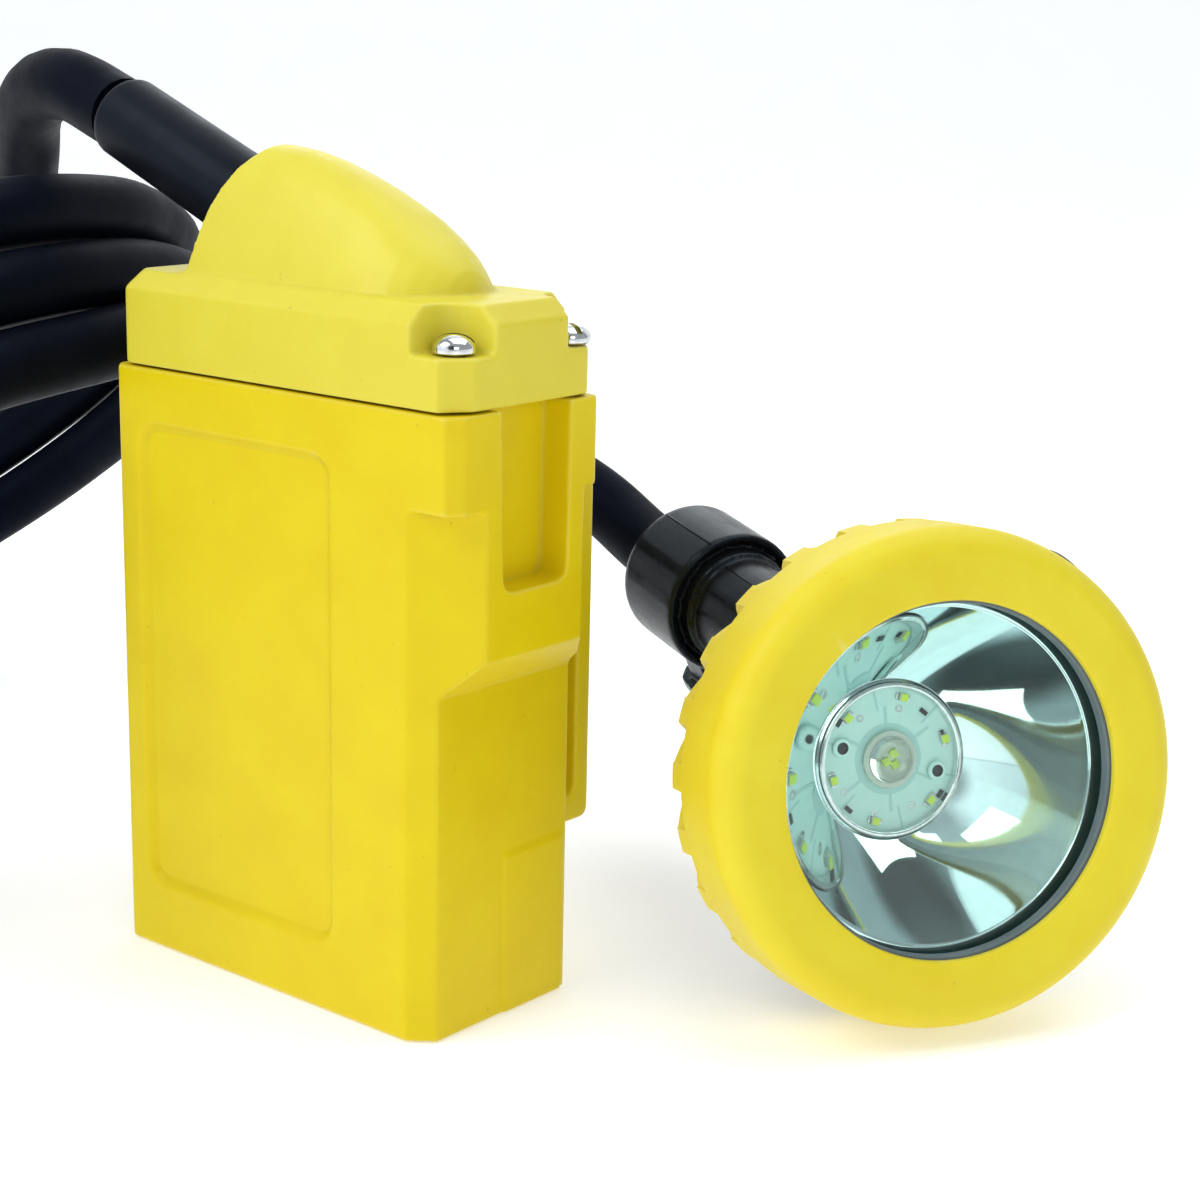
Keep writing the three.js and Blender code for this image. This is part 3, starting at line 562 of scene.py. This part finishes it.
collar = [(10.1, -20.2), (10.1, -19.15), *arc(10.3, -19.1, 0.2, 180, 90, 4), *arc(10.6, -19.1, 0.2, 90, 0, 4),
          (10.8, -20.2)]
piece("reflector_collar", turned_mesh(collar, 160, HEAD, "collar"), chrome, slot="chrome", angle=50)


def on_board(radius, degrees, turn=0.0):
    """Frame on the board's face at a radius and angle, X outwards, turned by some more degrees if asked."""
    a = math.radians(degrees)
    spot = Matrix.Translation((radius * math.cos(a), radius * math.sin(a), BOARD_S))
    return HEAD @ spot @ Matrix.Rotation(a + math.radians(turn), 4, "Z")


def flat_ring(inner, outer, thick, at, name, sides=40):
    return turned_mesh([(inner, 0.01), (outer, 0.01), (outer, thick), (inner, thick)], sides, at, name)


def board_details():
    """Pad ring, traces, vias, chip resistors and the two sunk screws of the light board."""
    centre = HEAD @ Matrix.Translation((0, 0, BOARD_S))
    pad_ring = flat_ring(4.15, 5.0, 0.06, centre, "pad ring", 64)
    piece("board_pad_ring", pad_ring, trace_pale, slot="board_white")
    bm = bmesh.new()
    for i in range(6):
        block(bm, (5.0 * MM, -0.22 * MM, 0.01 * MM), (7.4 * MM, 0.22 * MM, 0.05 * MM),
              on_board(0, LED_START + 18 + 60 * i))
        block(bm, (6.9 * MM, -0.15 * MM, 0.01 * MM), (10.5 * MM, 0.15 * MM, 0.05 * MM),
              on_board(0, LED_START + 27 + 60 * i))
    piece("board_traces", mesh_of(bm, "traces"), trace_pale, slot="board_white")
    for k, (x, y) in enumerate(((-1.14, 7.19), (4.62, 5.44), (-7.9, -0.77), (-5.38, -5.87), (0.22, -7.69))):
        at = HEAD @ Matrix.Translation((x * MM, y * MM, BOARD_S))
        piece(f"board_via_{k + 1}", flat_ring(0.28, 0.55, 0.08, at, "via", 24), solder, slot="nickel")
    bm = bmesh.new()
    for x, y in ((7.62, 3.21), (-8.46, -3.2), (8.7, -1.1), (-4.2, 8.3), (4.6, -8.4)):
        turn = math.degrees(math.atan2(y, x))
        at = on_board(math.hypot(x, y) * MM, turn, 90)
        block(bm, (-0.6 * MM, -0.3 * MM, 0.02 * MM), (0.6 * MM, 0.3 * MM, 0.35 * MM), at, 0.05 * MM)
    piece("board_resistors", mesh_of(bm, "resistors"), resistor, slot="black_plastic")
    screw = [(0, -4.5), (0.7, -4.5), (0.7, 0.3), (1.25, 0.3), (1.35, 0.4), (1.35, 0.75), (1.2, 0.85),
             (0.85, 0.85), (0.75, 0.8), (0.72, 0.45), (0, 0.45)]
    for degrees, node in ((SCREW_ANGLE, "board_screw_left"), (SCREW_ANGLE + 180, "board_screw_right")):
        at = on_board(SCREW_RING, degrees)
        mesh = turned_mesh(screw, 48, at, node)
        piece(node + "_socket", mesh, [board_white, matt_black], slot="black_plastic", replaced=(node,))
        upright = at.inverted()
        for face in mesh.polygons:
            local = upright @ face.center
            face.material_index = int(math.hypot(local.x, local.y) < 0.82 * MM)


def side_led(index):
    """White frame with a yellow-green phosphor window and two solder ends."""
    at = on_board(LED_RING, LED_START + 60 * index)
    bm = bmesh.new()
    block(bm, (-0.55 * MM, -0.62 * MM, 0.05 * MM), (0.55 * MM, 0.62 * MM, 0.75 * MM), at, 0.06 * MM)
    block(bm, (-0.5 * MM, -0.55 * MM, 0.76 * MM), (0.5 * MM, 0.55 * MM, 0.9 * MM), at, 0.05 * MM)
    for side in (-1, 1):
        block(bm, (-0.45 * MM, (side * 0.85 - 0.2) * MM, 0.04 * MM),
              (0.45 * MM, (side * 0.85 + 0.2) * MM, 0.35 * MM), at, 0.05 * MM)
    upright = at.inverted()
    for face in bm.faces:
        local = upright @ face.calc_center_median()
        face.material_index = 2 if abs(local.y) > 0.63 * MM else 1 if local.z > 0.755 * MM else 0
    piece(f"side_led_{index + 1}_chip", mesh_of(bm, "led"), [ceramic, phosphor, solder], slot="led_yellow",
          replaced=(f"side_led_{index + 1}",))


board_details()
for led in range(6):
    side_led(led)


def main_led():
    """Round emitter: ceramic base, three yellow dies and a clear silicone dome."""
    centre = HEAD @ Matrix.Translation((0, 0, BOARD_S))
    base = [(0, 0.3), (3.9, 0.3), (4.0, 0.4), (4.0, 0.85), (3.85, 0.95), (3.3, 0.95), (3.1, 0.7),
            (0, 0.7)]
    piece("main_led_base", turned_mesh(base, 96, centre, "led base"), ceramic, slot="board_white",
          replaced=("main_led",))
    bm = bmesh.new()
    for x, y in ((-0.62, 0.1), (0.55, 0.5), (0.1, -0.65)):
        low = ((x - 0.45) * MM, (y - 0.45) * MM, 0.72 * MM)
        high = ((x + 0.45) * MM, (y + 0.45) * MM, 0.95 * MM)
        block(bm, low, high, centre, 0.06 * MM)
    piece("main_led_die", mesh_of(bm, "die"), phosphor, slot="led_yellow")
    radius, rim, rise = 3.2, 1.05, 2.35
    profile = [(0, 0.98), (3.05, 0.98), (radius, rim)]
    slopes = [math.radians(6 * i) for i in range(1, 15)]
    profile += [(radius * math.cos(t), rim + rise * math.sin(t)) for t in slopes]
    profile.append((0, rim + rise))
    piece("main_led_dome", turned_mesh(profile, 96, centre, "dome"), clear_dome, slot="clear", angle=60)


main_led()


# ---------------------------------------------------------------- head body, hook and switch
moulded("head_body", "head_body_moulding", gloss_black, 0.42, 5, at=SLEEVE, slot="black_moulding")
moulded("helmet_hook", "helmet_hook_moulding", gloss_black, 0.3, 4, at=SLEEVE, slot="black_moulding")


def mould_seam():
    """Fine raised line along the top of the sleeve and of the neck in front of it."""
    on_sleeve = (0.14, 10.9 - 0.25, 10.9 + 0.12, 1.8 * MM, SLEEVE_LENGTH - 0.7 * MM)
    on_neck = (0.12, 7.9 - 0.2, 7.9 + 0.1, SLEEVE_LENGTH + 1.6 * MM, 34 * MM)
    bm = bmesh.new()
    for half, inner, outer, start, end in (on_sleeve, on_neck):
        block(bm, (-half * MM, inner * MM, start), (half * MM, outer * MM, end), SLEEVE, 0.04 * MM)
    piece("mould_seam", mesh_of(bm, "seam"), gloss_black, slot="black_moulding")


mould_seam()

LOOKS = {
    "cover_seal": grey_rubber, "cell_cradle": matt_black, "cell_left": cell_wrap, "cell_right": cell_wrap,
    "cell_strip_bottom": nickel, "cell_strip_top": nickel, "foam_pad": foam, "protection_board": board_green,
    "wire_positive": red_wire, "wire_negative": cord_rubber, "cord_clamp": matt_black,
    "clamp_screw_front": chrome, "clamp_screw_back": chrome, "lens": clear_window, "led_board": board_white,
    "board_carrier": aluminium, "sleeve_gland": boot_rubber, "hook_screw": chrome, "hook_contact": brass,
    "bezel_seal": boot_rubber, "switch_knob": gloss_black, "switch_shaft": aluminium,
    "switch_seal": boot_rubber, "switch_unit": matt_black,
}
for node, look in LOOKS.items():
    mesh = NODES[node].data
    mesh.materials.clear()
    mesh.materials.append(look)


# ---------------------------------------------------------------- floor, backdrop and lights
def make_stage():
    """Pale floor that curves up into a backdrop far behind."""
    n = Nodes("stage")
    grain = n.noise(30, 4)
    paper = n.mix(n.ramp(grain, 0.3, 0.7), (0.86, 0.86, 0.86), (0.83, 0.83, 0.84))
    n.join(paper, n.shader.inputs["Base Color"])
    n.join(n.bump(n.noise(900, 2), 0.0001, 0.05), n.shader.inputs["Normal"])
    n.set(Roughness=0.75, Emission_Color=(1, 1, 1, 1), Emission_Strength=0.34)
    front, back, bend, height, half_width = -2.5, 1.2, 0.5, 3.0, 4
    below = 0.3 * MM
    steps = 12
    run = [(front, 0.0), (back, 0.0)]
    for i in range(1, steps + 1):
        a = math.radians(90 * i / steps)
        run.append((back + bend * math.sin(a), bend - bend * math.cos(a)))
    run.append((back + bend, height))
    bm = bmesh.new()
    rows = [[bm.verts.new((x, y, z - below)) for x in (-half_width, half_width)] for y, z in run]
    for one, two in zip(rows, rows[1:]):
        bm.faces.new((one[0], one[1], two[1], two[0]))
    bm.transform(Matrix.Rotation(math.atan2(-VIEW_LEVEL.x, VIEW_LEVEL.y), 4, "Z"))
    mesh = mesh_of(bm, "stage")
    mesh.shade_smooth()
    mesh.materials.append(n.material)
    floor = bpy.data.objects.new("stage", mesh)
    bpy.context.scene.collection.objects.link(floor)


def area_light(name, place, target, size, power, colour):
    data = bpy.data.lights.new(name, "AREA")
    data.shape = "SQUARE"
    data.size = size
    data.energy = power
    data.color = colour
    lamp = bpy.data.objects.new(name, data)
    bpy.context.scene.collection.objects.link(lamp)
    lamp.location = place
    lamp.rotation_mode = "QUATERNION"
    lamp.rotation_quaternion = (Vector(target) - Vector(place)).to_track_quat("-Z", "Y")


make_stage()
area_light("key", (-0.30, -0.74, 0.98), (0.02, 0.0, 0.04), 0.7, 5.8, (1.0, 1.0, 0.98))
area_light("top", (0.15, 0.25, 1.0), (0.02, 0.02, 0.05), 0.9, 4.2, (0.96, 0.99, 1.0))
area_light("side", (1.0, -0.66, 0.45), (0.06, 0.02, 0.04), 0.45, 2.6, (1.0, 0.97, 0.9))
area_light("rim", (-0.6, 0.7, 0.6), (-0.02, 0.03, 0.05), 0.5, 0.8, (0.9, 0.96, 1.0))


# Directions that the reflector mirrors: a bright field in front on the left, a dim one in front on the right.
# Each: direction, cosines where it starts and where it is full, strength outside it and inside it.
FIELDS = [((-0.27, -0.93, 0.25), 0.68, 0.90, 0.40, 1.15), ((0.47, -0.82, 0.34), 0.88, 0.97, 1.0, 0.10)]


def world_field(tree, direction, centre, edge, full, outside, inside):
    """Strength that changes smoothly towards one direction."""
    toward = tree.nodes.new("ShaderNodeVectorMath")
    toward.operation = "DOT_PRODUCT"
    toward.inputs[1].default_value = Vector(centre).normalized()
    fade = tree.nodes.new("ShaderNodeMapRange")
    fade.interpolation_type = "SMOOTHSTEP"
    fade.inputs["From Min"].default_value = edge
    fade.inputs["From Max"].default_value = full
    fade.inputs["To Min"].default_value = outside
    fade.inputs["To Max"].default_value = inside
    tree.links.new(direction, toward.inputs[0])
    tree.links.new(toward.outputs["Value"], fade.inputs["Value"])
    return fade.outputs["Result"]


def make_world():
    """Pale surroundings whose strength is the product of the two fields."""
    world = bpy.data.worlds.new("world")
    bpy.context.scene.world = world
    world.use_nodes = True
    tree = world.node_tree
    sky = tree.nodes["Background"]
    sky.inputs["Color"].default_value = (0.90, 0.97, 1.0, 1)
    direction = tree.nodes.new("ShaderNodeTexCoord").outputs["Generated"]
    product = tree.nodes.new("ShaderNodeMath")
    product.operation = "MULTIPLY"
    for socket, field in zip(product.inputs, FIELDS):
        tree.links.new(world_field(tree, direction, *field), socket)
    tree.links.new(product.outputs["Value"], sky.inputs["Strength"])


make_world()
bpy.context.scene.view_settings.view_transform = "Standard"
